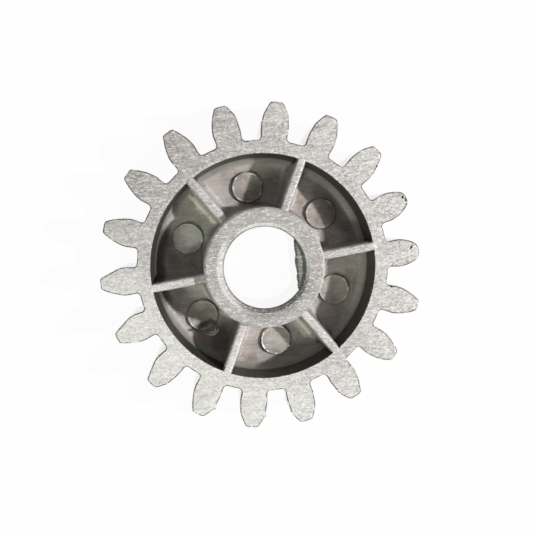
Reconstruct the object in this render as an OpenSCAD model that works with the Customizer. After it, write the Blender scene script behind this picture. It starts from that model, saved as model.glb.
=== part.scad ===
// Cast output gear of a gearbox: spur teeth around a ribbed web, with a D-shaped bore.
// The part stands on its flat back face. +Z runs up the bore towards the ribbed side.
// The centre of tooth 0 and the flat of the bore both point along +X.

/* [Teeth] */
// Module: pitch diameter divided by the number of teeth
gear_module = 4; // [2.5:0.5:8]
// Number of teeth
teeth = 18; // [17:1:40]
// Pressure angle of the involute flanks, in degrees
pressure_angle = 20; // [17.5:0.5:25]
// Width of the toothed rim along the bore
face_w = 15; // [12:0.5:40]
// Radius that rounds the corners of a tooth's tip
tip_round = 0.7; // [0.2:0.1:0.9]
// Radius of the fillet between a flank and the root
root_fillet = 0.9; // [0.2:0.1:1.2]

/* [Wear] */
// Height lost by the most worn tooth
worn_loss = 1.1; // [0:0.1:1.5]
// Height lost by the tooth beside it
side_worn_loss = 0.8; // [0:0.1:1.5]
// Radius that wear has given the tips of these two teeth
worn_round = 1.5; // [0.3:0.1:1.6]

/* [Rim and web] */
// Metal left between the root circle and the mouth of the recess
rim_w = 3.25; // [2:0.25:6]
// Thickness of the web behind the recess
web_t = 6; // [3:0.5:8]
// Draft of the rim's inner wall, in degrees
rim_draft = 5; // [1:0.5:8]
// Radius of the cove at the foot of the rim's inner wall
rim_cove = 2.2; // [0.5:0.1:3]

/* [Hub] */
// Diameter of the hub's face
hub_d = 29.2; // [26:0.2:34]
// Height of the hub above the face of the rim
hub_rise = 3; // [0.5:0.5:10]
// Draft of the hub's outer wall, in degrees
hub_draft = 4; // [1:0.5:6]
// Radius of the cove at the foot of the hub
hub_cove = 1.5; // [0.5:0.1:2.5]
// Break on the outer edge of the hub's face
hub_edge = 0.4; // [0.1:0.1:1]

/* [Bore] */
// Diameter of the round part of the bore
bore_d = 20; // [12:0.5:22]
// Distance from the bore's axis to its flat
flat_reach = 7.8; // [7.6:0.1:9]
// Depth of the flat's upper end below the hub's face
flat_drop = 1.4; // [1.2:0.1:4]
// Chamfer round the mouth of the bore
mouth_chamfer = 1; // [0.2:0.1:1.1]
// Chamfer round the bore at the back
back_chamfer = 0.6; // [0.2:0.1:1.5]

/* [Ribs] */
// Number of ribs
ribs = 6; // [3:1:8]
// Thickness of a rib at its top
rib_w = 2.2; // [1.4:0.1:4]
// Draft of a rib's sides, in degrees
rib_draft = 3; // [0.5:0.5:5]
// Height of the ribs above the face of the rim
rib_crown = 0.2; // [0.1:0.1:1]
// Radius of the fillet along the foot of a rib
rib_foot = 1.4; // [0.4:0.1:2]
// Radius along the top edges of a rib
rib_round = 0.45; // [0.1:0.05:0.6]
// Angle from tooth 0 to the first rib, in degrees
rib_phase = 5; // [0:1:20]
// How far a rib's round end reaches over the face of the rim
rib_lap = 0.65; // [0.2:0.05:1.5]

/* [Ejector pads] */
// Diameter of the round pads on the web
pad_d = 7.8; // [4:0.1:9]
// Height of a pad above the web
pad_h = 0.7; // [0.3:0.1:1.5]
// Gap between a pad and the foot of the hub's wall
pad_gap = 0.7; // [0.1:0.1:3]
// Break on a pad's edge
pad_edge = 0.25; // [0.1:0.05:0.3]

/* [Hidden] */

$fn = 96;
flank_steps = 6; // straight pieces in one involute flank
arc_steps = 3; // straight pieces in one fillet of a rib
cove_steps = 6; // straight pieces in the section of a cove
round_fn = 20; // fineness of the rounded corners of a tooth
root_fn = 90; // fineness of the root circle
tip_fn = 120; // fineness of the tip circle
slack = 1; // how far a cut runs past the face that it opens, and a pad below the web
sunk = 2; // how far a tooth or a rib is rooted in what carries it
crest_step = 0.1; // how much narrower the crest is than the rib below it, on each side

pitch_r = gear_module * teeth / 2;
base_r = pitch_r * cos(pressure_angle);
tip_r = pitch_r + gear_module;
root_r = pitch_r - 1.25 * gear_module;
tooth_step = 360 / teeth;

hub_top = face_w + hub_rise;
bore_r = bore_d / 2;
hub_face_r = hub_d / 2;
rim_mouth_r = root_r - rim_w;
body_r = root_r - rim_w / 2; // where the toothed ring and the ribbed body meet
rib_top = face_w + rib_crown;
crest_r = rib_w / 2 - crest_step;
crest_z = rib_top - 2 * rib_round;
crest_end_r = rim_mouth_r + rib_lap - crest_r;
rib_step = 360 / ribs;
pad_r = hub_wall_r(web_t) + pad_gap + pad_d / 2;

// Radius of the rim's inner wall and of the hub's outer wall at the height z
function rim_wall_r(z) = rim_mouth_r - (face_w - z) * tan(rim_draft);
function hub_wall_r(z) = hub_face_r + (hub_top - z) * tan(hub_draft);

// Involute function, in degrees, and half the angle that a tooth fills at the radius r
function involute(a) = tan(a) * 180 / PI - a;
function flank_angle(r) = 90 / teeth + involute(pressure_angle) - involute(acos(min(1, base_r / r)));
function at(r, a) = [r * cos(a), r * sin(a)];

// One flank from inside the root circle to the tip: radial below the base circle, involute above it
function flank(side, foot_r = root_r - sunk, start_r = max(base_r, root_r)) = [
    at(foot_r, side * flank_angle(start_r)),
    for (i = [0 : flank_steps])
        let (r = start_r + (tip_r - start_r) * i / flank_steps)
        at(r, side * flank_angle(r))
];
function backwards(list) = [for (i = [len(list) - 1 : -1 : 0]) list[i]];

function height_lost(k) = k == 0 ? worn_loss : k == 1 ? side_worn_loss : 0;
function tip_corner(k) = height_lost(k) > 0 ? worn_round : tip_round;

// Tooth k, cut down by its wear and with its tip's corners rounded
module tooth(k) {
    offset(r = tip_corner(k), $fn = round_fn)
        offset(delta = -tip_corner(k))
            intersection() {
                polygon(concat(flank(-1), backwards(flank(1))));
                circle(r = tip_r - height_lost(k), $fn = tip_fn);
            }
}

// Outline of the rim and all its teeth, with fillets along the roots
module toothed_outline() {
    offset(r = -root_fillet, $fn = round_fn)
        offset(delta = root_fillet)
            union() {
                circle(r = root_r, $fn = root_fn);
                for (k = [0 : teeth - 1])
                    rotate(k * tooth_step) tooth(k);
            }
}

// Points along an arc, both ends included
function arc(centre, radius, from, to, steps) = [
    for (i = [0 : steps])
        let (a = from + (to - from) * i / steps)
        centre + radius * [cos(a), sin(a)]
];

// How far the centre of a cove lies from the foot of a wall that leans back by draft
function cove_offset(radius, draft) = radius * (1 / cos(draft) - tan(draft));

// Half section of the body: back face, rim, web between its two coves, and hub
module body_section() {
    shoulder = hub_top - hub_edge;
    hub_centre = [hub_wall_r(web_t) + cove_offset(hub_cove, hub_draft), web_t + hub_cove];
    rim_centre = [rim_wall_r(web_t) - cove_offset(rim_cove, rim_draft), web_t + rim_cove];
    polygon(concat(
        [[0, 0], [body_r, 0], [body_r, face_w], [rim_mouth_r, face_w]],
        arc(rim_centre, rim_cove, -rim_draft, -90, cove_steps),
        arc(hub_centre, hub_cove, 270, 180 + hub_draft, cove_steps),
        [[hub_wall_r(shoulder), shoulder], [hub_face_r - hub_edge, hub_top], [0, hub_top]]
    ));
}

// Half thickness of a rib at the height z
function rib_side_x(z) = rib_w / 2 + (rib_top - z) * tan(rib_draft);

// Right half of the section of a rib's wall: foot fillet and drafted side, up to the crest
function rib_wall_half() = concat(
    [[0, web_t - sunk]],
    [[rib_side_x(web_t) + rib_foot, web_t - sunk]],
    arc([rib_side_x(web_t) + rib_foot, web_t + rib_foot], rib_foot, 270, 180, arc_steps),
    [[rib_side_x(crest_z), crest_z], [0, crest_z]]
);

// Right half of the section of the rounded crest along the top of a rib
function rib_crest_half() = concat(
    [[0, crest_z - rib_round], [crest_r, crest_z - rib_round]],
    arc([crest_r - rib_round, rib_top - rib_round], rib_round, 0, 90, arc_steps),
    [[0, rib_top]]
);

// A whole symmetrical section along +X from start_r to end_r
module rib_run(half, start_r, end_r) {
    translate([start_r, 0, 0])
        rotate([90, 0, 90])
            linear_extrude(height = end_r - start_r)
                polygon(concat(half, [for (p = backwards(half)) if (p[0] > 0) [-p[0], p[1]]]));
}

// A rib along +X: its wall is rooted in the hub and the rim, and its crest ends in a half round
// that laps over the face of the rim
module rib() {
    start_r = bore_r + sunk;
    rib_run(rib_wall_half(), start_r, (rim_mouth_r + body_r) / 2);
    rib_run(rib_crest_half(), start_r, crest_end_r);
    translate([crest_end_r, 0, 0])
        rotate([0, 0, -90])
            rotate_extrude(angle = 180) polygon(rib_crest_half());
}

// Round pad on the web where an ejector pin pushed the casting out
module ejector_pad() {
    wall_h = pad_h - pad_edge;
    rotate_extrude()
        polygon([
            [0, web_t - slack],
            [pad_d / 2, web_t - slack],
            [pad_d / 2, web_t + wall_h],
            [pad_d / 2 - pad_edge, web_t + pad_h],
            [0, web_t + pad_h]
        ]);
}

// The D-shaped hole: round at both ends, with the flat between them
module bore() {
    flat_top = hub_top - flat_drop;
    difference() {
        translate([0, 0, -slack]) cylinder(r = bore_r, h = hub_top + 2 * slack);
        translate([flat_reach, -bore_r, back_chamfer])
            cube([bore_r, bore_d, flat_top - back_chamfer]);
    }
    translate([0, 0, hub_top - mouth_chamfer])
        cylinder(r1 = bore_r, r2 = bore_r + mouth_chamfer + slack, h = mouth_chamfer + slack);
    translate([0, 0, -slack])
        cylinder(r1 = bore_r + back_chamfer + slack, r2 = bore_r, h = back_chamfer + slack);
}

// The ribbed body inside the toothed ring, with the hub, ribs, pads and bore
module ribbed_body() {
    difference() {
        union() {
            rotate_extrude() body_section();
            for (i = [0 : ribs - 1])
                rotate(rib_phase + i * rib_step) rib();
            for (i = [0 : ribs - 1])
                rotate(rib_phase + (i + 0.5) * rib_step)
                    translate([pad_r, 0, 0]) ejector_pad();
        }
        bore();
    }
}

module toothed_ring() {
    linear_extrude(height = face_w)
        difference() {
            toothed_outline();
            circle(r = body_r);
        }
}

module output_gear() {
    color([0.72, 0.71, 0.69])
        union() {
            toothed_ring();
            ribbed_body();
        }
}

output_gear();
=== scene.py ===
import math
from types import SimpleNamespace

import bmesh
import bpy
from mathutils import Matrix, Vector, noise


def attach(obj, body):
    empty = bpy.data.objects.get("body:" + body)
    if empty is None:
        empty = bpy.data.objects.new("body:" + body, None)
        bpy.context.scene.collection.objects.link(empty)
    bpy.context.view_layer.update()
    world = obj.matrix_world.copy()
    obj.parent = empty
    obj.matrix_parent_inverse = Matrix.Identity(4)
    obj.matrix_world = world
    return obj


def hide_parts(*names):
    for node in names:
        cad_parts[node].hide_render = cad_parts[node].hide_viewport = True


noise.seed_set(7)  # without this, the noise is new at each start
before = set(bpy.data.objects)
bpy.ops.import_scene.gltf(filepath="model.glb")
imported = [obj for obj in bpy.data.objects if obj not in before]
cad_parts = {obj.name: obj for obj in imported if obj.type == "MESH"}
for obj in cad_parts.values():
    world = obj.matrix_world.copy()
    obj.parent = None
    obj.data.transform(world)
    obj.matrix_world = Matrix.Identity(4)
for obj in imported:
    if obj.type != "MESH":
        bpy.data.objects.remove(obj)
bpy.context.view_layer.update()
mm = 0.001
faceTop = 15.0  # height of the toothed face, in mm
pictureTurn = 5.08  # the picture's right is this many degrees behind the gear's +X


# wraps a socket: an expression on Fields adds the nodes that work it out
class Field:
    def __init__(self, tree, socket):
        self.tree, self.socket = tree, socket

    def node(self, kind, inputs=(), out=0, **settings):
        made = self.tree.nodes.new(kind)
        for name, value in settings.items():
            setattr(made, name, value)
        for key, value in dict(inputs).items():
            if isinstance(value, Field):
                self.tree.links.new(value.socket, made.inputs[key])
            else:
                made.inputs[key].default_value = value
        return Field(self.tree, made.outputs[out])

    def math(self, operation, *values, clamp=False):
        return self.node("ShaderNodeMath", dict(enumerate(values)), operation=operation, use_clamp=clamp)

    def __add__(self, other):
        return self.math("ADD", self, other)

    def __radd__(self, other):
        return self.math("ADD", other, self)

    def __sub__(self, other):
        return self.math("SUBTRACT", self, other)

    def __rsub__(self, other):
        return self.math("SUBTRACT", other, self)

    def __mul__(self, other):
        return self.math("MULTIPLY", self, other)

    def __rmul__(self, other):
        return self.math("MULTIPLY", other, self)

    def __truediv__(self, other):
        return self.math("DIVIDE", self, other)

    def __pow__(self, other):
        return self.math("POWER", self, other)

    def step(self, low, high, a=0.0, b=1.0):  # smooth ramp from a at low to b at high
        return self.node("ShaderNodeMapRange", {0: self, 1: low, 2: high, 3: a, 4: b},
                         interpolation_type="SMOOTHSTEP")

    def band(self, low, high, soft):  # 1 between low and high, soft at both ends
        return self.step(low - soft, low + soft) * self.step(high - soft, high + soft, 1.0, 0.0)

    def split(self):
        made = self.tree.nodes.new("ShaderNodeSeparateXYZ")
        self.tree.links.new(self.socket, made.inputs[0])
        return [Field(self.tree, made.outputs[k]) for k in range(3)]

    def blendColour(self, a, b, how="MIX"):  # self is the share of b
        made = self.tree.nodes.new("ShaderNodeMix")
        made.data_type, made.blend_type = "RGBA", how
        self.tree.links.new(self.socket, made.inputs[0])
        for key, value in ((6, a), (7, b)):
            if isinstance(value, Field):
                self.tree.links.new(value.socket, made.inputs[key])
            else:
                made.inputs[key].default_value = (*value, 1.0)
        return Field(self.tree, made.outputs[2])

    def mapped(self, turn=0.0, scale=(1.0, 1.0, 1.0), shift=(0.0, 0.0, 0.0)):
        return self.node("ShaderNodeMapping",
                         {"Vector": self, "Location": shift, "Rotation": (0.0, 0.0, math.radians(turn)),
                          "Scale": scale})

    def clouds(self, scale, detail=2.0, rough=0.5):
        return self.node("ShaderNodeTexNoise",
                         {"Vector": self, "Scale": scale, "Detail": detail, "Roughness": rough})


def newMaterial(name):
    material = bpy.data.materials.new(name)
    material.use_nodes = True
    tree = material.node_tree
    tree.nodes.clear()
    coords = tree.nodes.new("ShaderNodeTexCoord")
    return material, tree, Field(tree, coords.outputs["Object"])


gearShape = {  # lengths in mm, angles in degrees
    "mergeDistance": 0.001,
    "flatAngle": 0.4,  # faces that meet at less than this become one
    "sharpAngle": 34.0,
    "toothFrom": 29.6,  # radius outside which an edge belongs to the teeth
    "shortestEdge": 0.16,
    "mouthRadius": 27.75,  # of the recess
    "edgeBreak": 0.32,
    "mouthBreak": 0.42,
    "edgeSteps": 2,
    "outlineStep": 0.45,
    "unevenness": 0.055,
    "unevenScale": 900.0,
    "toothHalf": 5.0,  # no point of a tooth lies further than this from its middle line
    "tipHalf": 2.4,
    # worn or full tips: direction, where the change starts, share by which either side narrows,
    # rounding of the end, added length
    "tips": [
        (0.0, 36.2, 0.16, 0.12, 0.22, 0.0),
        (20.0, 36.4, 0.10, 0.26, 0.10, 0.0),
        (40.0, 34.3, -0.10, 0.0, 0.05, 0.12),
        (60.0, 34.3, -0.11, -0.06, 0.15, 0.12),
        (80.0, 34.3, -0.08, -0.14, 0.10, 0.15),
        (100.0, 34.3, -0.02, -0.15, 0.10, 0.10),
        (180.0, 34.3, 0.0, 0.08, 0.05, -0.10),
        (200.0, 34.3, 0.0, 0.08, 0.10, -0.10),
        (220.0, 34.3, -0.14, 0.08, 0.10, 0.05),
        (240.0, 34.3, -0.20, 0.0, 0.30, 0.15),
        (260.0, 34.3, -0.16, -0.12, 0.35, 0.25),
        (280.0, 34.3, -0.10, -0.20, 0.20, 0.30),
        (300.0, 34.3, -0.02, -0.18, 0.15, 0.25),
        (320.0, 34.3, 0.0, -0.08, 0.10, 0.10),
    ],
    "tipRise": 2.7,  # length over which the change grows
    "dentLump": (1.3, 0.45),  # how fine and how strong the dents' unevenness is
    # where on the toothed face, size along and across and down, turn
    "dents": [
        ((37.10, 1.20), (0.52, 0.26, 0.35), 60.0),
        ((36.75, 0.70), (0.20, 0.16, 0.20), 0.0),
        ((35.84, 13.72), (0.42, 0.26, 0.30), 60.0),
        ((36.64, 12.96), (0.30, 0.24, 0.25), 35.0),
        ((30.98, -7.79), (0.85, 0.28, 0.50), -60.0),
        ((26.19, 16.73), (0.30, 0.20, 0.40), 10.0),
        ((30.00, 21.89), (0.28, 0.18, 0.35), 0.0),
        ((30.05, 7.12), (0.30, 0.20, 0.35), 15.0),
        ((36.55, 13.05), (0.30, 0.20, 0.30), 80.0),
        ((36.62, 11.85), (0.34, 0.18, 0.30), 95.0),
        ((36.00, 10.95), (0.26, 0.16, 0.25), 60.0),
    ],
}


def newPiece(name, bm, material):
    mesh = bpy.data.meshes.new(name)
    bm.to_mesh(mesh)
    bm.free()
    mesh.materials.append(material)
    piece = bpy.data.objects.new(name, mesh)
    bpy.context.scene.collection.objects.link(piece)
    return piece


def wobble(point, scale, size, seed=0.0):
    return noise.noise_vector(point * scale + Vector((seed, 2 * seed, 3 * seed))) * size


def markSharp(bm):
    for face in bm.faces:
        face.smooth = True
    limit = math.radians(gearShape["sharpAngle"])
    for edge in bm.edges:
        edge.smooth = len(edge.link_faces) != 2 or edge.calc_face_angle() < limit


def shapeTips(bm):
    for direction, start, left, right, nose, reach in gearShape["tips"]:
        turn = Matrix.Rotation(math.radians(direction), 3, "Z")
        for v in bm.verts:
            spot = (turn.inverted() @ v.co) / mm
            if spot.x < start or abs(spot.y) > gearShape["toothHalf"]:
                continue
            share = min(1.0, (spot.x - start) / gearShape["tipRise"])
            spot.x += share * (reach + nose * (0.7 - min(1.0, abs(spot.y) / gearShape["tipHalf"])))
            spot.y *= 1 - share * share * (left if spot.y > 0 else right)
            v.co = turn @ spot * mm


# one cut at a time, so that a cut that fails takes nothing with it
def cutDents(gear):
    for k, (spot, size, turn) in enumerate(gearShape["dents"]):
        bm = bmesh.new()
        bmesh.ops.create_icosphere(bm, subdivisions=3, radius=1.0)
        for v in bm.verts:
            v.co += wobble(v.co, *gearShape["dentLump"], seed=k + 1.0)
        bmesh.ops.scale(bm, verts=bm.verts, vec=Vector(size) * mm)
        bmesh.ops.rotate(bm, verts=bm.verts, matrix=Matrix.Rotation(math.radians(turn), 3, "Z"))
        bmesh.ops.translate(bm, verts=bm.verts, vec=Vector((*spot, faceTop)) * mm)
        cutter = newPiece("cutter%d" % k, bm, gear.data.materials[0])
        cut = gear.modifiers.new("dent", "BOOLEAN")
        cut.operation, cut.solver, cut.object = "DIFFERENCE", "EXACT", cutter
        depsgraph = bpy.context.evaluated_depsgraph_get()
        dented = bpy.data.meshes.new_from_object(gear.evaluated_get(depsgraph))
        gear.modifiers.clear()
        if len(dented.vertices) > len(gear.data.vertices):  # a cut that fails leaves nothing
            gear.data = dented
        else:
            print("dent", k, "left out")
        bpy.data.objects.remove(cutter)


def castGear(material):
    shape = gearShape
    bm = bmesh.new()
    bm.from_mesh(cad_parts["output_gear"].data)
    bmesh.ops.remove_doubles(bm, verts=bm.verts, dist=shape["mergeDistance"] * mm)
    bmesh.ops.dissolve_limit(bm, angle_limit=math.radians(shape["flatAngle"]), verts=bm.verts, edges=bm.edges)

    def level(edge):
        return abs(edge.verts[0].co.z - edge.verts[1].co.z) < shape["mergeDistance"] * mm

    def crisp(edge):
        return len(edge.link_faces) == 2 and edge.calc_face_angle() > math.radians(shape["sharpAngle"])

    def outline():
        return [e for e in bm.edges if crisp(e) and level(e)
                and all(v.co.xy.length > shape["toothFrom"] * mm for v in e.verts)]

    # very short edges would fold over when the outline is bevelled
    corners = list({v for e in outline() for v in e.verts})
    bmesh.ops.remove_doubles(bm, verts=corners, dist=shape["shortestEdge"] * mm)

    # the outline of the teeth is a little uneven, as a casting's is
    for cuts in range(8, 0, -1):
        long = [e for e in outline() if round(e.calc_length() / (shape["outlineStep"] * mm)) == cuts + 1]
        bmesh.ops.subdivide_edges(bm, edges=long, cuts=cuts)
    shapeTips(bm)
    for v in {v for e in outline() for v in e.verts}:
        push = wobble(v.co, shape["unevenScale"], shape["unevenness"] * mm)
        v.co.x, v.co.y = v.co.x + push.x, v.co.y + push.y

    bmesh.ops.bevel(bm, geom=outline(), offset=shape["edgeBreak"] * mm, offset_type="OFFSET", affect="EDGES",
                    segments=shape["edgeSteps"], profile=0.5, material=-1, clamp_overlap=False)
    mouth = [e for e in bm.edges if crisp(e) and level(e)
             and all(abs(v.co.xy.length / mm - shape["mouthRadius"]) < 0.02
                     and abs(v.co.z / mm - faceTop) < 0.01 for v in e.verts)]
    bmesh.ops.bevel(bm, geom=mouth, offset=shape["mouthBreak"] * mm, offset_type="OFFSET", affect="EDGES",
                    segments=shape["edgeSteps"], profile=0.5, material=-1, clamp_overlap=True)
    bmesh.ops.triangulate(bm, faces=bm.faces)
    gear = newPiece("castGear", bm, material)
    cutDents(gear)

    bm = bmesh.new()
    bm.from_mesh(gear.data)
    bmesh.ops.triangulate(bm, faces=bm.faces)
    markSharp(bm)
    bm.to_mesh(gear.data)
    bm.free()
    flatten = gear.modifiers.new("flatFaces", "WEIGHTED_NORMAL")
    flatten.keep_sharp = True
    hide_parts("output_gear")
    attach(gear, "root")
    print("gear:", len(gear.data.polygons), "triangles")


castFinish = {  # how the cast metal looks; places and sizes in mm
    "faceColour": (0.61, 0.58, 0.575),
    "darkFace": (0.49, 0.46, 0.45),
    "paleFace": (0.83, 0.815, 0.79),
    # the web's tone, darker and warmer than the face: partly the metal's own, partly painted shade in the recess
    "pocketColour": (0.52, 0.48, 0.455),
    "pocketStain": (0.36, 0.30, 0.26),
    # painted shade: the rim's inner wall is painted near black, also where the key light reaches it
    "wallColour": (0.13, 0.125, 0.113),
    # painted shade: darker colour in the cove at the walls' foot and on the pocket walls
    "coveShade": (0.36, 0.35, 0.33),
    # near black: painted shade along edges, lips, dents and the pads' feet, and the colour of real scratches
    "paintedShadeAndScratch": (0.10, 0.095, 0.09),
    "ledgeColour": (0.27, 0.275, 0.255),
    "boreColour": (0.93, 0.93, 0.92),
    "flankColour": (0.66, 0.655, 0.64),
    # painted glints: white specks on the top faces, and highlights at the bore's mouth and on the pads' flash
    "glintColour": (0.96, 0.94, 0.935),
    "metallic": 0.35,
    "boreRoughness": 0.16,
    "flankRoughness": 0.30,
    "oilRoughness": 0.12,
    "roughness": 0.60,
    "grainDepth": 0.06,
    "grainStrength": 0.5,
    # kinds of grain: narrowing along the picture's horizontal, scale, detail, roughness
    "grain": {
        "fine": (0.5, 3500.0, 2.0, 0.7),
        "coarse": (0.30, 1150.0, 2.0, 0.6),
        "streak": (0.12, 1500.0, 2.0, 0.6),
        "glint": (0.42, 2300.0, 1.0, 0.5),
        "scratch": (0.06, 2600.0, 2.0, 0.5),
    },
    "shading": {"fine": 2.1, "coarse": 0.7, "streak": 0.45, "pit": 0.30, "glint": 0.7},
    "pads": 6,
    "padRing": 20.04,  # radius on which the pads lie
    "padRadius": 3.9,
    "firstPad": 35.0,  # its direction, in degrees
    "padHighlights": [0.35, 0.75, 0.2, 0.3, 1.0, 0.4],  # how bright the painted highlight on the flash round each pad is
    "footShades": [0.8, 0.9, 0.75, 0.45, 1.0, 0.8],  # how dark the painted shade round each pad's foot is
    # painted light: pale patches where light falls on the web and the ribs' sides
    "palePaintedLight": (0.80, 0.79, 0.73),
    # painted light: warm pale patches on the lit parts of the web
    "warmPaintedLight": (0.74, 0.67, 0.64),
    "greenStain": (0.46, 0.46, 0.40),
    "brownStain": (0.40, 0.31, 0.24),
    # dirt, and painted shade in the dark parts of the pockets
    "dirtAndPaintedShade": (0.13, 0.13, 0.11),
    # curved scratches on the toothed face: middle, radius, half width, strength
    "scratches": [
        ((34.0, -4.3), 2.54, 0.13, 0.65),
        ((35.6, 1.9), 1.60, 0.12, 0.50),
        ((34.4, 11.6), 2.55, 0.12, 0.45),
    ],
    # stains on the web, with painted light (the pale and warm patches) and painted shade mixed with dirt (the
    # dark patches): colour, where, half size along and across, turn, strength
    "stains": [
        ("greenStain", (-16.5, 12.0), (10.0, 5.5), 130, 0.55),
        ("palePaintedLight", (-13.2, 17.3), (8.0, 2.6), 125, 0.95),
        ("palePaintedLight", (-16.9, 9.6), (3.3, 3.3), 0, 0.75),
        ("dirtAndPaintedShade", (-22.8, 6.0), (7.5, 2.0), 105, 0.45),
        ("brownStain", (-18.6, 2.6), (3.2, 2.2), 0, 0.40),
        ("brownStain", (-19.0, -9.5), (6.0, 4.2), 60, 0.45),
        ("palePaintedLight", (-18.5, -8.0), (6.5, 3.5), 70, 0.45),
        ("greenStain", (-15.0, -12.5), (3.6, 3.6), 0, 0.60),
        ("dirtAndPaintedShade", (-11.6, -18.6), (7.5, 3.2), 62, 0.75),
        ("brownStain", (-17.0, -18.6), (2.6, 1.1), 85, 0.80),
        ("greenStain", (-16.6, -21.6), (3.0, 1.3), 130, 0.60),
        ("warmPaintedLight", (-4.8, -20.0), (3.4, 5.2), -10, 0.25),
        ("warmPaintedLight", (1.7, -20.0), (3.3, 3.3), 0, 0.15),
        ("greenStain", (6.3, -23.5), (3.4, 2.4), 40, 0.55),
        ("palePaintedLight", (9.2, -17.6), (4.6, 1.6), -50, 0.70),
        ("warmPaintedLight", (-8.6, 19.0), (4.2, 4.2), 20, 0.35),
        ("brownStain", (3.4, 21.8), (2.0, 4.0), 10, 0.35),
        ("greenStain", (7.2, 21.4), (1.6, 5.0), -25, 0.75),
        ("palePaintedLight", (7.8, 23.0), (0.9, 3.2), -25, 0.45),
        ("brownStain", (18.4, 11.4), (1.8, 4.2), 15, 0.65),
        ("dirtAndPaintedShade", (22.2, 11.0), (3.8, 8.5), 30, 0.72),
        ("greenStain", (13.0, 20.0), (3.6, 2.4), -45, 0.45),
        ("brownStain", (20.2, -9.0), (3.6, 3.4), 0, 0.40),
        ("greenStain", (21.8, -2.2), (2.6, 1.8), 0, 0.35),
        ("warmPaintedLight", (-21.4, -13.6), (2.8, 2.2), -40, 0.60),
        ("dirtAndPaintedShade", (-16.6, -14.0), (3.0, 0.80), 22, 0.95),
        ("dirtAndPaintedShade", (-14.2, -13.4), (1.6, 0.70), -35, 0.90),
        ("dirtAndPaintedShade", (-19.6, -15.0), (2.0, 0.40), 8, 0.95),
        ("brownStain", (-17.6, -16.8), (0.9, 2.6), 0, 0.90),
        ("dirtAndPaintedShade", (24.4, -9.0), (1.8, 8.0), -20, 0.45),
    ],
}


# masks that are 1 on one zone of the gear and 0 elsewhere; heights and radii in mm
def findZones(place):
    zone = SimpleNamespace()
    geometry = place.tree.nodes.new("ShaderNodeNewGeometry")
    zone.normalZ = Field(place.tree, geometry.outputs["Normal"]).split()[2]
    zone.x, zone.y, zone.z = x, y, z = [v * (1 / mm) for v in place.split()]
    zone.radius = radius = (x * x + y * y) ** 0.5
    zone.steep = steep = 1 - zone.normalZ.math("ABSOLUTE", zone.normalZ).step(0.3, 0.6)
    zone.onFace = z.step(14.2, 14.5)
    zone.onHub = z.step(16.9, 17.0)
    zone.inPocket = (1 - zone.onFace) * radius.band(13.6, 28.2, 0.2) * z.step(3.0, 4.0)
    # the rim's inner wall, where shade is painted
    zone.rimWall = steep * radius.band(26.5, 28.2, 0.1) * z.step(7.6, 8.6)
    zone.cove = zone.inPocket * z.band(6.15, 8.4, 0.15) * radius.step(24.3, 24.7)
    zone.inBore = radius.step(10.25, 10.45, 1.0, 0.0)
    zone.bore = zone.inBore * steep * z.step(16.3, 16.45, 1.0, 0.0)
    zone.flank = steep * radius.step(29.5, 30.0)
    zone.ledge = radius.step(10.2, 10.4, 1.0, 0.0) * (1 - steep) * z.band(15.0, 17.2, 0.2)
    # painted shade: a dark line along the teeth's top edge
    zone.rimEdge = z.step(14.54, 14.62) * z.step(14.985, 14.997, 1.0, 0.0) * radius.step(29.3, 29.8)
    # the lower left of the picture is paler, its upper left darker
    zone.pale = (x * -0.65 + y * -0.76).step(2.0, 34.0)
    zone.dark = (x * -0.65 + y * 0.76).step(12.0, 42.0)
    return zone


def paint(colour, mask, tint):  # tint names a colour of castFinish
    return mask.blendColour(colour, castFinish[tint])


def awayFrom(zone, spot):
    return ((zone.x - spot[0]) ** 2 + (zone.y - spot[1]) ** 2) ** 0.5


def grain(place, kind):  # clouds drawn out along the picture's horizontal
    narrow, scale, detail, rough = castFinish["grain"][kind]
    return place.mapped(turn=pictureTurn, scale=(narrow, 1.0, 1.0)).clouds(scale, detail, rough)


def paintFace(zone, blotch):
    face = zone.pale.blendColour(castFinish["faceColour"], castFinish["paleFace"])
    face = paint(face, zone.dark * 0.9, "darkFace")
    hubRing = zone.radius.band(10.4, 14.6, 0.3) * zone.z.step(16.5, 17.0)
    face = paint(face, hubRing * 0.75, "darkFace")
    face = paint(face, blotch.step(0.35, 0.7) * 0.25, "paleFace")
    teeth = zone.radius.step(29.0, 34.0) * (1 - zone.dark)
    return paint(face, teeth * (0.16 + zone.pale * 0.80), "paleFace")


def paintPocket(place, zone):
    patches = place.clouds(210.0, 4.0, 0.6).step(0.42, 0.68)
    pocket = patches.blendColour(castFinish["pocketColour"], castFinish["pocketStain"])
    ragged = place.clouds(420.0, 3.0, 0.6)
    for tint, spot, size, turn, strength in castFinish["stains"]:
        c, s = math.cos(math.radians(turn)), math.sin(math.radians(turn))
        along = (zone.x * c + zone.y * s - (spot[0] * c + spot[1] * s)) / size[0]
        across = (zone.y * c - zone.x * s - (spot[1] * c - spot[0] * s)) / size[1]
        away = (along * along + across * across) ** 0.5 + (ragged - 0.5) * 1.3
        # stains, painted light and painted shade on the web
        pocket = paint(pocket, away.step(1.25, 0.45) * strength, tint)
    return pocket


def paintWalls(colour, zone):
    # painted shade in the cove, and a lighter painted shade on the hub's and ribs' walls
    colour = paint(colour, zone.cove, "coveShade")
    wall = zone.inPocket * zone.steep
    colour = paint(colour, wall * (1 - zone.rimWall) * 0.25, "coveShade")
    # painted shade: the cove on the lower left of the web is painted near black, where the hub's shadow falls
    leftShadeAndHighlight = (zone.x * -0.4 - zone.y * 0.92).band(-1.0, 17.0, 1.5) * zone.x.step(-5.0, -8.0)
    leftShadeAndHighlight = leftShadeAndHighlight * zone.radius.step(24.0, 25.6)
    colour = paint(colour, leftShadeAndHighlight * zone.inPocket * 0.85, "paintedShadeAndScratch")
    # painted shade on the rim's inner wall
    colour = paint(colour, zone.rimWall, "wallColour")
    return paint(colour, zone.flank, "flankColour")
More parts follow.
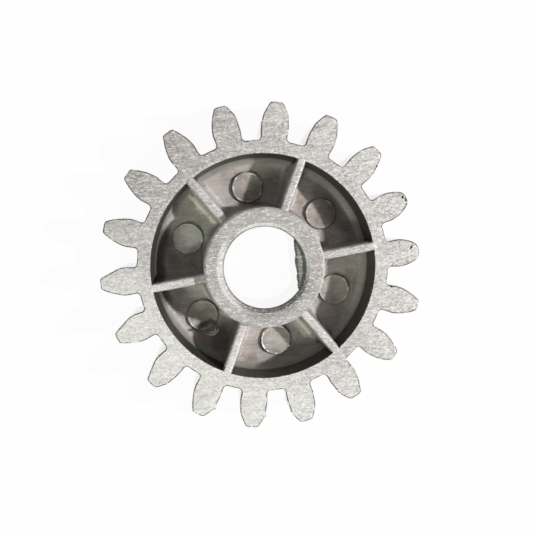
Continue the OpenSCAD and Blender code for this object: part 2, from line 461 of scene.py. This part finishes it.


# the bore's mouth: the scratched ledge above the flat, its burr, and the edge all round, with painted highlights
# and painted shade on the edge
def paintMouth(colour, place, zone):
    x, y, z, radius = zone.x, zone.y, zone.z, zone.radius
    colour = paint(colour, zone.ledge, "ledgeColour")
    scratch = grain(place, "scratch")
    colour = paint(colour, zone.ledge * scratch.step(0.54, 0.64) * 0.8, "faceColour")
    # painted shade: a dark line along the burr
    burr = z.band(15.9, 17.4, 0.1) * x.step(6.9, 7.1) * x.step(8.35, 8.05, 0.0, 1.0)
    burr = burr * y.math("ABSOLUTE", y).step(6.6, 6.2) * scratch.step(0.72, 0.52)
    colour = paint(colour, burr, "paintedShadeAndScratch")
    # painted shade on the top of the bore's wall
    lip = zone.inBore * z.band(16.3, 17.0, 0.06)
    colour = paint(colour, lip * zone.steep * 0.7, "paintedShadeAndScratch")

    # painted highlight on the upper right of the mouth's edge, painted shade on the rest of it
    edge = radius.band(10.05, 10.98, 0.05) * zone.onHub * zone.normalZ.step(0.9, 0.8)
    highlightSide = (x * 0.64 + y * 0.77).step(0.0, 7.0)
    colour = paint(colour, edge * highlightSide * 0.9, "glintColour")
    # painted highlight on the left of the mouth
    leftShadeAndHighlight = (x * -0.98 - y * 0.1).step(6.0, 9.5) * radius.band(10.1, 11.7, 0.25)
    colour = paint(colour, leftShadeAndHighlight * zone.onHub * 0.75, "glintColour")
    # painted shade on the lower side of the mouth
    lowSideShade = (x * 0.36 - y * 0.93).step(5.5, 9.5) * radius.step(13.2, 10.9, 0.0, 1.0)
    colour = paint(colour, lowSideShade * zone.onHub * 0.45, "paintedShadeAndScratch")
    # painted shade: a dark line at the bore's lip
    sharpLip = radius.step(10.30, 10.16, 0.0, 1.0) * zone.onHub * zone.normalZ.step(0.4, 0.6)
    colour = paint(colour, sharpLip * 0.7, "paintedShadeAndScratch")
    return paint(colour, edge * (1 - highlightSide) * 0.35, "paintedShadeAndScratch")


# painted shade inside the dents, and fine scratches on the toothed face
def paintMarks(colour, place, zone):
    justBelow = zone.z.step(faceTop - 0.12, faceTop - 0.04, 1.0, 0.0) * (1 - zone.flank)
    for spot, size, turn in gearShape["dents"]:
        inside = awayFrom(zone, spot).step(size[0] * 1.1, size[0] * 1.6, 1.0, 0.0)
        colour = paint(colour, inside * justBelow * 0.45, "paintedShadeAndScratch")
    broken = place.clouds(900.0, 2.0).step(0.32, 0.48)
    for spot, size, width, strength in castFinish["scratches"]:
        line = awayFrom(zone, spot).band(size - width, size + width, 0.04)
        colour = paint(colour, line * zone.onFace * broken * strength, "paintedShadeAndScratch")
    return colour


def padCentre(k):
    around = math.radians(castFinish["firstPad"] + 360 / castFinish["pads"] * k)
    return Vector((math.cos(around), math.sin(around), 0)) * castFinish["padRing"]


# painted shade as a dark line round the foot of each ejector pad, and painted highlights on the flash along its
# edge
def paintPads(colour, place, zone):
    look = castFinish
    footShades, rimHighlights = [], []
    for k in range(look["pads"]):
        away = awayFrom(zone, padCentre(k))
        footShades.append(away.band(look["padRadius"] - 0.12, look["padRadius"] + 0.22, 0.08) * look["footShades"][k])
        rimHighlights.append(away.band(look["padRadius"] - 0.45, look["padRadius"] + 0.15, 0.06) * look["padHighlights"][k])
    ring, rim = footShades[0], rimHighlights[0]
    for nextFootShade, nextRimHighlight in zip(footShades[1:], rimHighlights[1:]):
        ring, rim = ring.math("MAXIMUM", ring, nextFootShade), rim.math("MAXIMUM", rim, nextRimHighlight)
    # painted shade round the pads' feet
    ring = ring * zone.inPocket * (0.15 + 0.85 * place.clouds(330.0, 2.0).step(0.40, 0.58))
    colour = paint(colour, ring, "paintedShadeAndScratch")
    # painted highlights on the flash
    bead = rim * zone.inPocket * zone.z.band(6.66, 7.4, 0.04) * place.clouds(560.0, 1.0).step(0.50, 0.58)
    return paint(colour, bead, "glintColour")


def multiplied(colour, shade):
    grey = colour.tree.nodes.new("ShaderNodeCombineColor")
    for k in range(3):
        colour.tree.links.new(shade.socket, grey.inputs[k])
    return colour.node("ShaderNodeMix", {0: 1.0, 6: colour, 7: Field(colour.tree, grey.outputs[0])}, 2,
                       data_type="RGBA", blend_type="MULTIPLY")


def castMetal():
    look, depth = castFinish, castFinish["shading"]
    material, tree, place = newMaterial("castMetal")
    zone = findZones(place)
    fine, coarse, streak = grain(place, "fine"), grain(place, "coarse"), grain(place, "streak")
    glint = grain(place, "glint").step(0.595, 0.655)
    blotch = place.clouds(120.0, 3.0, 0.55)
    pit = place.clouds(1900.0, 1.0, 0.5).step(0.33, 0.27)

    colour = zone.inPocket.blendColour(paintFace(zone, blotch), paintPocket(place, zone))
    colour = paintWalls(colour, zone)
    colour = paintMouth(colour, place, zone)
    colour = paintMarks(colour, place, zone)
    colour = paintPads(colour, place, zone)

    calm = 1 - 0.55 * zone.inPocket - 0.45 * zone.flank - 0.35 * zone.pale * zone.onFace
    shade = 1.0 + calm * depth["fine"] * (fine - 0.5)
    shade = shade * (1.0 + calm * depth["coarse"] * (coarse - 0.5))
    shade = shade * (1.0 + depth["streak"] * (streak - 0.5))
    shade = shade * (1.0 - depth["pit"] * pit * calm)
    colour = multiplied(colour, shade)
    # painted glints: white specks on the top faces
    glinted = glint * (1 - zone.inPocket) * (1 - zone.ledge) * (1 - zone.flank)
    colour = paint(colour, glinted * depth["glint"], "glintColour")
    # painted shade along the teeth's outline
    colour = paint(colour, zone.rimEdge * place.clouds(700.0, 2.0, 0.6).step(0.30, 0.52), "paintedShadeAndScratch")
    colour = paint(colour, zone.bore, "boreColour")

    rough = look["roughness"] + 0.3 * (fine - 0.5) - 0.10 * glint
    rough = rough + zone.bore * (look["boreRoughness"] - look["roughness"])
    rough = rough + zone.flank * (look["flankRoughness"] - look["roughness"])
    metallic = look["metallic"] + (1 - look["metallic"]) * zone.bore
    metallic = metallic + zone.flank * (1 - look["metallic"]) + zone.rimWall * 0.5
    relief = (fine * 0.5 + coarse * 0.7 + streak * 0.4 + blotch * 0.8) * (1 - zone.bore * 0.9)
    bump = place.node("ShaderNodeBump",
                      {"Height": relief, "Strength": look["grainStrength"], "Distance": look["grainDepth"] * mm})

    surface = tree.nodes.new("ShaderNodeBsdfPrincipled")
    surface.inputs["Coat Roughness"].default_value = look["oilRoughness"]
    for name, value in (("Base Color", colour), ("Metallic", metallic), ("Roughness", rough),
                        ("Coat Weight", zone.flank), ("Normal", bump)):
        tree.links.new(value.socket, surface.inputs[name])
    output = tree.nodes.new("ShaderNodeOutputMaterial")
    tree.links.new(surface.outputs[0], output.inputs[0])
    return material


flash = {  # what the mould left round the ejector pads and along the bore's flat, in mm
    "padEdge": 3.75,  # radius of the ring of flash
    "padTop": 6.7,  # height of a pad's face
    "bead": 0.16,
    "beadScale": 1100.0,
    "beadSpread": 0.5,  # these three are shares of the bead's size
    "beadRise": 1.3,
    "beadSink": 0.35,
    "ringSteps": 84,
    "burrFrom": 7.8,
    "burrTop": 16.6,
    "burrDrop": 0.1,  # how far the burr's middle lies below the flat's end
    "burrLength": 11.9,
    "burrSize": 0.30,
    "burrCuts": 70,
    "burrScale": 1000.0,
    "burrSpread": 0.9,  # shares of the burr's size
    "burrRise": 0.8,
    "burrGrain": (2200.0, 0.35),
}


def padFlash(material):
    ringed = bmesh.new()
    for k in range(castFinish["pads"]):
        bm = bmesh.new()
        bmesh.ops.create_circle(bm, segments=6, radius=flash["bead"] * mm,
                                matrix=Matrix.Translation((flash["padEdge"] * mm, 0, 0))
                                @ Matrix.Rotation(math.radians(90), 4, "X"))
        bmesh.ops.spin(bm, geom=bm.verts[:] + bm.edges[:], cent=(0, 0, 0), axis=(0, 0, 1),
                       angle=math.tau, steps=flash["ringSteps"], use_merge=True)
        bmesh.ops.remove_doubles(bm, verts=bm.verts, dist=0.001 * mm)
        for v in bm.verts:
            lump = wobble(v.co, flash["beadScale"], 1.0, seed=5.0 * k + 1)
            v.co += Vector((lump.x, lump.y, 0)) * flash["beadSpread"] * flash["bead"] * mm
            v.co.z += (lump.z * flash["beadRise"] - flash["beadSink"]) * flash["bead"] * mm
        spot = padCentre(k) + Vector((0, 0, flash["padTop"]))
        bmesh.ops.translate(bm, verts=bm.verts, vec=spot * mm)
        bmesh.ops.recalc_face_normals(bm, faces=bm.faces)
        part = bpy.data.meshes.new("ring")
        bm.to_mesh(part)
        bm.free()
        ringed.from_mesh(part)
    for face in ringed.faces:
        face.smooth = True
    piece = newPiece("padFlash", ringed, material)
    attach(piece, "root")
    print("pad flash:", len(piece.data.polygons), "faces")


def flatBurr(material):
    size = flash["burrSize"]
    bm = bmesh.new()
    bmesh.ops.create_cube(bm, size=1.0)
    bmesh.ops.scale(bm, verts=bm.verts, vec=Vector((size, flash["burrLength"], size)) * mm)
    lengthwise = [e for e in bm.edges if abs(e.verts[0].co.y - e.verts[1].co.y) > size * mm]
    bmesh.ops.subdivide_edges(bm, edges=lengthwise, cuts=flash["burrCuts"], use_grid_fill=True)
    spot = Vector((flash["burrFrom"], 0, flash["burrTop"] - flash["burrDrop"])) * mm
    bmesh.ops.translate(bm, verts=bm.verts, vec=spot)
    for v in bm.verts:
        lump = wobble(Vector((0, v.co.y, 0)), flash["burrScale"], 1.0, seed=3.0)
        fine = wobble(v.co, *flash["burrGrain"], seed=9.0)
        v.co.x += (lump.x * flash["burrSpread"] + fine.x) * size * mm
        v.co.z += (lump.z * flash["burrRise"] + fine.z) * size * mm
    bmesh.ops.recalc_face_normals(bm, faces=bm.faces)
    piece = newPiece("flatBurr", bm, material)
    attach(piece, "root")
    print("burr:", len(piece.data.polygons), "faces")


curls = {  # two thin curls of metal that lie on the web
    # near white, partly a painted highlight: the curls lie in shade
    "colour": (0.97, 0.96, 0.95),
    "worn": (0.86, 0.84, 0.82),
    "scale": 1800.0,
    "metallic": 0.0,
    "roughness": 0.4,
    "webTop": 6.0,  # height of the web's face, in mm
    "middle": (-14.75, -15.0),  # of both arcs, in mm
    "thick": 0.33,
    "thinEnd": 0.35,  # share of the thickness that is left at the ends
    "lumps": (1200.0, 0.05),
    "steps": 26,
    # radius of the arc, where it starts and ends in degrees, rise of its far end in mm
    "arcs": [(1.97, -126, -12, 0.25), (1.33, -116, -4, 0.15)],
}


def curlMetal():
    material, tree, place = newMaterial("curlMetal")
    speckle = place.clouds(curls["scale"], 2.0, 0.6)
    colour = speckle.step(0.35, 0.65).blendColour(curls["worn"], curls["colour"])
    rough = curls["roughness"] + 0.2 * (speckle - 0.5)
    surface = tree.nodes.new("ShaderNodeBsdfPrincipled")
    surface.inputs["Metallic"].default_value = curls["metallic"]
    tree.links.new(colour.socket, surface.inputs["Base Color"])
    tree.links.new(rough.socket, surface.inputs["Roughness"])
    output = tree.nodes.new("ShaderNodeOutputMaterial")
    tree.links.new(surface.outputs[0], output.inputs[0])
    return material


def webCurls():
    joined = bmesh.new()
    thick = curls["thick"] * mm
    for radius, start, end, rise in curls["arcs"]:
        bm = bmesh.new()
        bmesh.ops.create_circle(bm, segments=8, radius=thick,
                                matrix=Matrix.Rotation(math.radians(start), 4, "Z")
                                @ Matrix.Translation((radius * mm, 0, 0))
                                @ Matrix.Rotation(math.radians(90), 4, "X"))
        bmesh.ops.spin(bm, geom=bm.verts[:] + bm.edges[:], cent=(0, 0, 0), axis=(0, 0, 1),
                       angle=math.radians(end - start), steps=curls["steps"])
        bmesh.ops.holes_fill(bm, edges=[e for e in bm.edges if e.is_boundary])
        for v in bm.verts:
            share = (math.degrees(math.atan2(v.co.y, v.co.x)) - start) / (end - start)
            along = math.pi * min(1.0, max(0.0, share))
            slim = curls["thinEnd"] + (1 - curls["thinEnd"]) * math.sin(along)
            middle = v.co.xy.normalized() * radius * mm
            v.co.x, v.co.y = middle + (v.co.xy - middle) * slim
            v.co.z = v.co.z * slim + (0.5 * curls["thick"] * slim + rise * share ** 3) * mm
            v.co += wobble(v.co, *curls["lumps"], seed=radius) * mm
        spot = Vector((*curls["middle"], curls["webTop"])) * mm
        bmesh.ops.translate(bm, verts=bm.verts, vec=spot)
        bmesh.ops.recalc_face_normals(bm, faces=bm.faces)
        part = bpy.data.meshes.new("curl")
        bm.to_mesh(part)
        bm.free()
        joined.from_mesh(part)
    for face in joined.faces:
        face.smooth = True
    piece = newPiece("webCurls", joined, curlMetal())
    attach(piece, "root")
    print("curls:", len(piece.data.polygons), "faces")


metal = castMetal()
castGear(metal)
padFlash(metal)
flatBurr(metal)
webCurls()


studio = {  # floor, low wall and lights; lengths in mm, angles in degrees
    "floorSize": 900.0,
    "floorSides": 96,
    "wallHeight": 520.0,
    "wallColour": (0.30, 0.30, 0.30),
    "floorDrop": 0.05,
    "floorColour": (0.86, 0.86, 0.85),
    "whiteShare": 0.96,
    "skyColour": (0.93, 0.96, 1.0),
    "skyStrength": 0.17,
    # lights: name, height, direction in the picture, spread, strength, colour
    "lights": [
        ("key", 40.0, 0.0, 3.0, 2.95, (1.0, 0.985, 0.975)),
        ("fill", 43.0, 235.0, 14.0, 0.90, (0.96, 1.0, 0.86)),
    ],
}


def paper(name, colour):
    material, tree, place = newMaterial(name)
    path = tree.nodes.new("ShaderNodeLightPath")
    seen = Field(tree, path.outputs["Is Camera Ray"])
    for kind in ("Is Glossy Ray", "Is Transmission Ray"):
        seen = seen.math("MAXIMUM", seen, Field(tree, path.outputs[kind]))
    matt = tree.nodes.new("ShaderNodeBsdfDiffuse")
    matt.inputs["Color"].default_value = (*colour, 1)
    white = tree.nodes.new("ShaderNodeEmission")
    white.inputs["Color"].default_value = (1, 1, 1, 1)
    mixed = tree.nodes.new("ShaderNodeMixShader")
    tree.links.new((seen * studio["whiteShare"]).socket, mixed.inputs[0])
    tree.links.new(matt.outputs[0], mixed.inputs[1])
    tree.links.new(white.outputs[0], mixed.inputs[2])
    output = tree.nodes.new("ShaderNodeOutputMaterial")
    tree.links.new(mixed.outputs[0], output.inputs[0])
    return material


def makeFloor():
    bm = bmesh.new()
    bmesh.ops.create_circle(bm, cap_ends=True, segments=studio["floorSides"], radius=studio["floorSize"] * mm)
    bmesh.ops.translate(bm, verts=bm.verts, vec=(0, 0, -studio["floorDrop"] * mm))
    newPiece("floor", bm, paper("paleFloor", studio["floorColour"]))

    bm = bmesh.new()  # a low wall all round, so that side views see no horizon
    bmesh.ops.create_circle(bm, segments=studio["floorSides"], radius=studio["floorSize"] * mm)
    bmesh.ops.translate(bm, verts=bm.verts, vec=(0, 0, -studio["floorDrop"] * mm))
    raised = bmesh.ops.extrude_edge_only(bm, edges=bm.edges)["geom"]
    bmesh.ops.translate(bm, verts=[v for v in raised if isinstance(v, bmesh.types.BMVert)],
                        vec=(0, 0, studio["wallHeight"] * mm))
    bmesh.ops.recalc_face_normals(bm, faces=bm.faces)
    bmesh.ops.reverse_faces(bm, faces=bm.faces)
    newPiece("backdrop", bm, paper("paleWall", studio["wallColour"]))


def makeLight():
    world = bpy.data.worlds.new("studio")
    bpy.context.scene.world = world
    world.use_nodes = True
    sky = world.node_tree.nodes["Background"]
    sky.inputs["Color"].default_value = (*studio["skyColour"], 1)
    sky.inputs["Strength"].default_value = studio["skyStrength"]

    for name, height, direction, spread, strength, colour in studio["lights"]:
        lamp = bpy.data.lights.new(name, "SUN")
        lamp.energy, lamp.color = strength, colour
        lamp.angle = math.radians(spread)
        sun = bpy.data.objects.new(name, lamp)
        bpy.context.scene.collection.objects.link(sun)
        around, up = math.radians(direction - pictureTurn), math.radians(height)
        towards = Vector((math.cos(around) * math.cos(up), math.sin(around) * math.cos(up), math.sin(up)))
        sun.rotation_mode = "QUATERNION"
        sun.rotation_quaternion = towards.to_track_quat("Z", "Y")


cameraSet = {
    "tilt": 6.58,  # in degrees, away from straight above
    "direction": 133.5,  # which way it leans, in the picture's angles
    "distance": 165.7,  # height above the toothed face, in mm
    "focalPixels": 679.0,
    "roll": -0.51,
    "aim": (0.56, 0.13),  # beside the bore's axis, in mm
    "picturePixels": 533,
    "sensor": 36.0,
}


def makeCamera():
    view = cameraSet
    lean = view["distance"] * math.tan(math.radians(view["tilt"]))
    aim = Vector((*view["aim"], 0.0))
    around = math.radians(view["direction"])
    spot = aim + Vector((lean * math.cos(around), lean * math.sin(around), view["distance"]))
    back = (spot - aim).normalized()
    roll = math.radians(view["roll"])
    up = Vector((-math.sin(roll), math.cos(roll), 0.0))
    up = (up - back * up.dot(back)).normalized()
    right = up.cross(back)
    pose = Matrix((right, up, back)).transposed().to_4x4()
    pose.translation = spot
    toGear = Matrix.Translation((0, 0, faceTop)) @ Matrix.Rotation(math.radians(-pictureTurn), 4, "Z")
    pose = toGear @ pose
    pose.translation = pose.translation * mm
    data = bpy.data.cameras.new("pictureCamera")
    data.sensor_width = view["sensor"]
    data.lens = view["focalPixels"] / view["picturePixels"] * view["sensor"]
    data.clip_start, data.clip_end = 0.005, 5.0
    camera = bpy.data.objects.new("pictureCamera", data)
    bpy.context.scene.collection.objects.link(camera)
    camera.matrix_world = pose
    bpy.context.scene.camera = camera


makeFloor()
makeLight()
makeCamera()
bpy.context.scene.view_settings.view_transform = "Standard"
print("stage ready")
